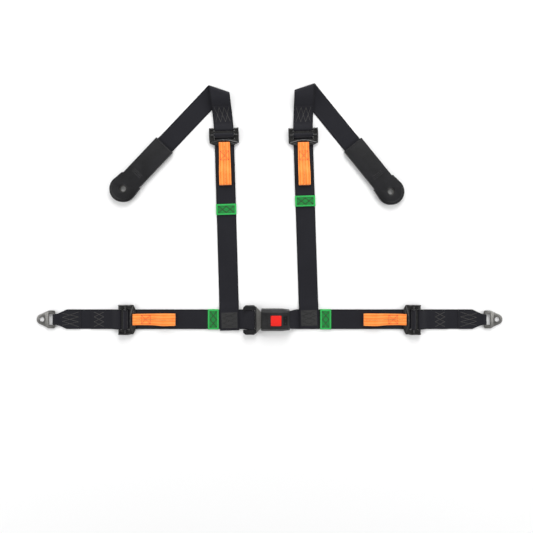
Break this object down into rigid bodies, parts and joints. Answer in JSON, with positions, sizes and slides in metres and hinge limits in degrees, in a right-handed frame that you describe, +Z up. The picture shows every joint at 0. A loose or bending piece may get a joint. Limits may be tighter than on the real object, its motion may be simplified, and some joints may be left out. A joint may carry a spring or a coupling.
{
  "type": "racing harness",
  "caption": "Flat-laid racing harness of two-inch webbing with lap and shoulder straps, tilt-lock adjusters, pull tabs, boots and a push-button buckle.",
  "frame": {"origin": "centre of the buckle's flat back, on the floor", "axes": "+X along the lap strap to the lap end beside the buckle, +Y towards the shoulder straps' folds, +Z up from the floor, out of the harness's front"},
  "size_m": [1.1444, 0.6151, 0.024],
  "materials": {
    "web": "woven polyester",
    "green": "woven polyester",
    "orange": "woven polyester",
    "steel": "plain",
    "dark_steel": "black coat",
    "plastic": "fine texture",
    "red": "gloss"
  },
  "bodies": {
    "buckle": {"buckle_base": "plastic", "buckle_cover": "plastic", "buckle_frame": "dark_steel", "buckle_screws": "steel", "buckle_loop": "web", "lap_right_webbing": "web", "shoulder_right_webbing": "web", "latch_leaf": "steel", "button_springs": "steel", "ejector_spring": "steel"},
    "button": {"button": "red"},
    "ejector": {"ejector": "plastic"},
    "tongue": {"tongue_plate": "steel", "tongue_cover": "plastic", "tongue_loop": "web", "lap_left_webbing": "web", "shoulder_left_webbing": "web"},
    "lap_left_adjuster": {"lap_left_frame": "dark_steel", "lap_left_tail": "web"},
    "lap_left_bar": {"lap_left_slide_bar": "steel", "lap_left_wrap": "web"},
    "lap_left_tail": {"lap_left_tail_end": "green"},
    "lap_left_tab": {"lap_left_pull_tab": "orange"},
    "lap_left_strap": {"lap_left_anchor_strap": "web"},
    "lap_left_end": {"lap_left_plate": "steel"},
    "lap_right_adjuster": {"lap_right_frame": "dark_steel", "lap_right_tail": "web"},
    "lap_right_bar": {"lap_right_slide_bar": "steel", "lap_right_wrap": "web"},
    "lap_right_tail": {"lap_right_tail_end": "green"},
    "lap_right_tab": {"lap_right_pull_tab": "orange"},
    "lap_right_strap": {"lap_right_anchor_strap": "web"},
    "lap_right_end": {"lap_right_plate": "steel"},
    "shoulder_left_adjuster": {"shoulder_left_frame": "dark_steel", "shoulder_left_tail": "web"},
    "shoulder_left_bar": {"shoulder_left_slide_bar": "steel", "shoulder_left_wrap": "web"},
    "shoulder_left_tail": {"shoulder_left_tail_end": "green"},
    "shoulder_left_tab": {"shoulder_left_pull_tab": "orange"},
    "shoulder_left_strap": {"shoulder_left_anchor_strap": "web", "shoulder_left_fold": "web"},
    "shoulder_left_end": {"shoulder_left_end_strap": "web", "shoulder_left_anchor_plate": "steel", "shoulder_left_boot": "plastic"},
    "shoulder_right_adjuster": {"shoulder_right_frame": "dark_steel", "shoulder_right_tail": "web"},
    "shoulder_right_bar": {"shoulder_right_slide_bar": "steel", "shoulder_right_wrap": "web"},
    "shoulder_right_tail": {"shoulder_right_tail_end": "green"},
    "shoulder_right_tab": {"shoulder_right_pull_tab": "orange"},
    "shoulder_right_strap": {"shoulder_right_anchor_strap": "web", "shoulder_right_fold": "web"},
    "shoulder_right_end": {"shoulder_right_end_strap": "web", "shoulder_right_anchor_plate": "steel", "shoulder_right_boot": "plastic"}
  },
  "joints": [
    {"name": "button_press", "type": "slide", "parent": "buckle", "child": "button", "axis": [0, 0, -1], "range_m": [0, 0.003], "stiffness_N_per_m": 1500, "springref_m": -0.002, "deforming": ["button_springs", "latch_leaf"]},
    {"name": "tongue_release", "type": "slide", "parent": "buckle", "child": "tongue", "axis": [-1, 0, 0], "range_m": [0, 0.04]},
    {"name": "ejector_push", "type": "slide", "parent": "buckle", "child": "ejector", "axis": [-1, 0, 0], "range_m": [0, 0.008], "deforming": ["ejector_spring"]},
    {"name": "lap_left_adjust", "type": "slide", "parent": "tongue", "child": "lap_left_adjuster", "axis": [-1, 0, 0], "range_m": [0, 0.05], "deforming": ["lap_left_webbing", "lap_left_tail"]},
    {"name": "lap_left_pay_out", "type": "slide", "parent": "lap_left_adjuster", "child": "lap_left_tail", "axis": [-1, 0, 0], "range_m": [0, 0.05]},
    {"name": "lap_left_grip", "type": "slide", "parent": "lap_left_adjuster", "child": "lap_left_bar", "axis": [1, 0, 0], "range_m": [0, 0.004]},
    {"name": "lap_left_pull", "type": "hinge", "parent": "lap_left_adjuster", "child": "lap_left_tab", "pos_m": [-0.3477, 0, 0.0063], "axis": [0, -1, 0], "range_deg": [0, 110]},
    {"name": "lap_left_swing", "type": "hinge", "parent": "lap_left_adjuster", "child": "lap_left_strap", "pos_m": [-0.3817, 0, 0.00625], "axis": [0, 1, 0], "range_deg": [0, 40]},
    {"name": "lap_left_plate_turn", "type": "hinge", "parent": "lap_left_strap", "child": "lap_left_end", "pos_m": [-0.5431, 0, 0.004], "axis": [0, 1, 0], "range_deg": [0, 60]},
    {"name": "lap_right_adjust", "type": "slide", "parent": "buckle", "child": "lap_right_adjuster", "axis": [1, 0, 0], "range_m": [0, 0.05], "deforming": ["lap_right_webbing", "lap_right_tail"]},
    {"name": "lap_right_pay_out", "type": "slide", "parent": "lap_right_adjuster", "child": "lap_right_tail", "axis": [1, 0, 0], "range_m": [0, 0.05]},
    {"name": "lap_right_grip", "type": "slide", "parent": "lap_right_adjuster", "child": "lap_right_bar", "axis": [-1, 0, 0], "range_m": [0, 0.004]},
    {"name": "lap_right_pull", "type": "hinge", "parent": "lap_right_adjuster", "child": "lap_right_tab", "pos_m": [0.3189, 0, 0.0063], "axis": [0, 1, 0], "range_deg": [0, 110]},
    {"name": "lap_right_swing", "type": "hinge", "parent": "lap_right_adjuster", "child": "lap_right_strap", "pos_m": [0.3529, 0, 0.00625], "axis": [0, -1, 0], "range_deg": [0, 40]},
    {"name": "lap_right_plate_turn", "type": "hinge", "parent": "lap_right_strap", "child": "lap_right_end", "pos_m": [0.5143, 0, 0.004], "axis": [0, -1, 0], "range_deg": [0, 60]},
    {"name": "shoulder_left_adjust", "type": "slide", "parent": "tongue", "child": "shoulder_left_adjuster", "axis": [-0.0283, 0.9996, 0], "range_m": [-0.1, 0.03], "deforming": ["shoulder_left_webbing", "shoulder_left_tail"]},
    {"name": "shoulder_left_pay_out", "type": "slide", "parent": "shoulder_left_adjuster", "child": "shoulder_left_tail", "axis": [-0.0283, 0.9996, 0], "range_m": [-0.1, 0.03]},
    {"name": "shoulder_left_grip", "type": "slide", "parent": "shoulder_left_adjuster", "child": "shoulder_left_bar", "axis": [0.0283, -0.9996, 0], "range_m": [0, 0.004]},
    {"name": "shoulder_left_pull", "type": "hinge", "parent": "shoulder_left_adjuster", "child": "shoulder_left_tab", "pos_m": [-0.12525, 0.43251, 0.0063], "axis": [-0.9996, -0.0283, 0], "range_deg": [0, 110]},
    {"name": "shoulder_left_swing", "type": "hinge", "parent": "shoulder_left_adjuster", "child": "shoulder_left_strap", "pos_m": [-0.12621, 0.46649, 0.00625], "axis": [0.9996, 0.0283, 0], "range_deg": [0, 40]},
    {"name": "shoulder_left_unfold", "type": "hinge", "parent": "shoulder_left_strap", "child": "shoulder_left_end", "pos_m": [-0.1355, 0.5545, 0.00975], "axis": [0.9472, -0.3206, 0], "range_deg": [0, 178], "deforming": ["shoulder_left_fold"]},
    {"name": "shoulder_right_adjust", "type": "slide", "parent": "buckle", "child": "shoulder_right_adjuster", "axis": [-0.0323, 0.9995, 0], "range_m": [-0.1, 0.02], "deforming": ["shoulder_right_webbing", "shoulder_right_tail"]},
    {"name": "shoulder_right_pay_out", "type": "slide", "parent": "shoulder_right_adjuster", "child": "shoulder_right_tail", "axis": [-0.0323, 0.9995, 0], "range_m": [-0.1, 0.02]},
    {"name": "shoulder_right_grip", "type": "slide", "parent": "shoulder_right_adjuster", "child": "shoulder_right_bar", "axis": [0.0323, -0.9995, 0], "range_m": [0, 0.004]},
    {"name": "shoulder_right_pull", "type": "hinge", "parent": "shoulder_right_adjuster", "child": "shoulder_right_tab", "pos_m": [0.06863, 0.43251, 0.0063], "axis": [-0.9995, -0.0323, 0], "range_deg": [0, 110]},
    {"name": "shoulder_right_swing", "type": "hinge", "parent": "shoulder_right_adjuster", "child": "shoulder_right_strap", "pos_m": [0.06753, 0.46649, 0.00625], "axis": [0.9995, 0.0323, 0], "range_deg": [0, 40]},
    {"name": "shoulder_right_unfold", "type": "hinge", "parent": "shoulder_right_strap", "child": "shoulder_right_end", "pos_m": [0.07, 0.56, 0.00975], "axis": [0.9468, 0.3218, 0], "range_deg": [0, 178], "deforming": ["shoulder_right_fold"]}
  ],
  "couplings": [
    {"joint": "ejector_push", "follows": "tongue_release", "ratio": 0.2},
    {"joint": "lap_left_pay_out", "follows": "lap_left_adjust", "ratio": 1},
    {"joint": "lap_right_pay_out", "follows": "lap_right_adjust", "ratio": 1},
    {"joint": "shoulder_left_pay_out", "follows": "shoulder_left_adjust", "ratio": 1},
    {"joint": "shoulder_right_pay_out", "follows": "shoulder_right_adjust", "ratio": 1}
  ]
}
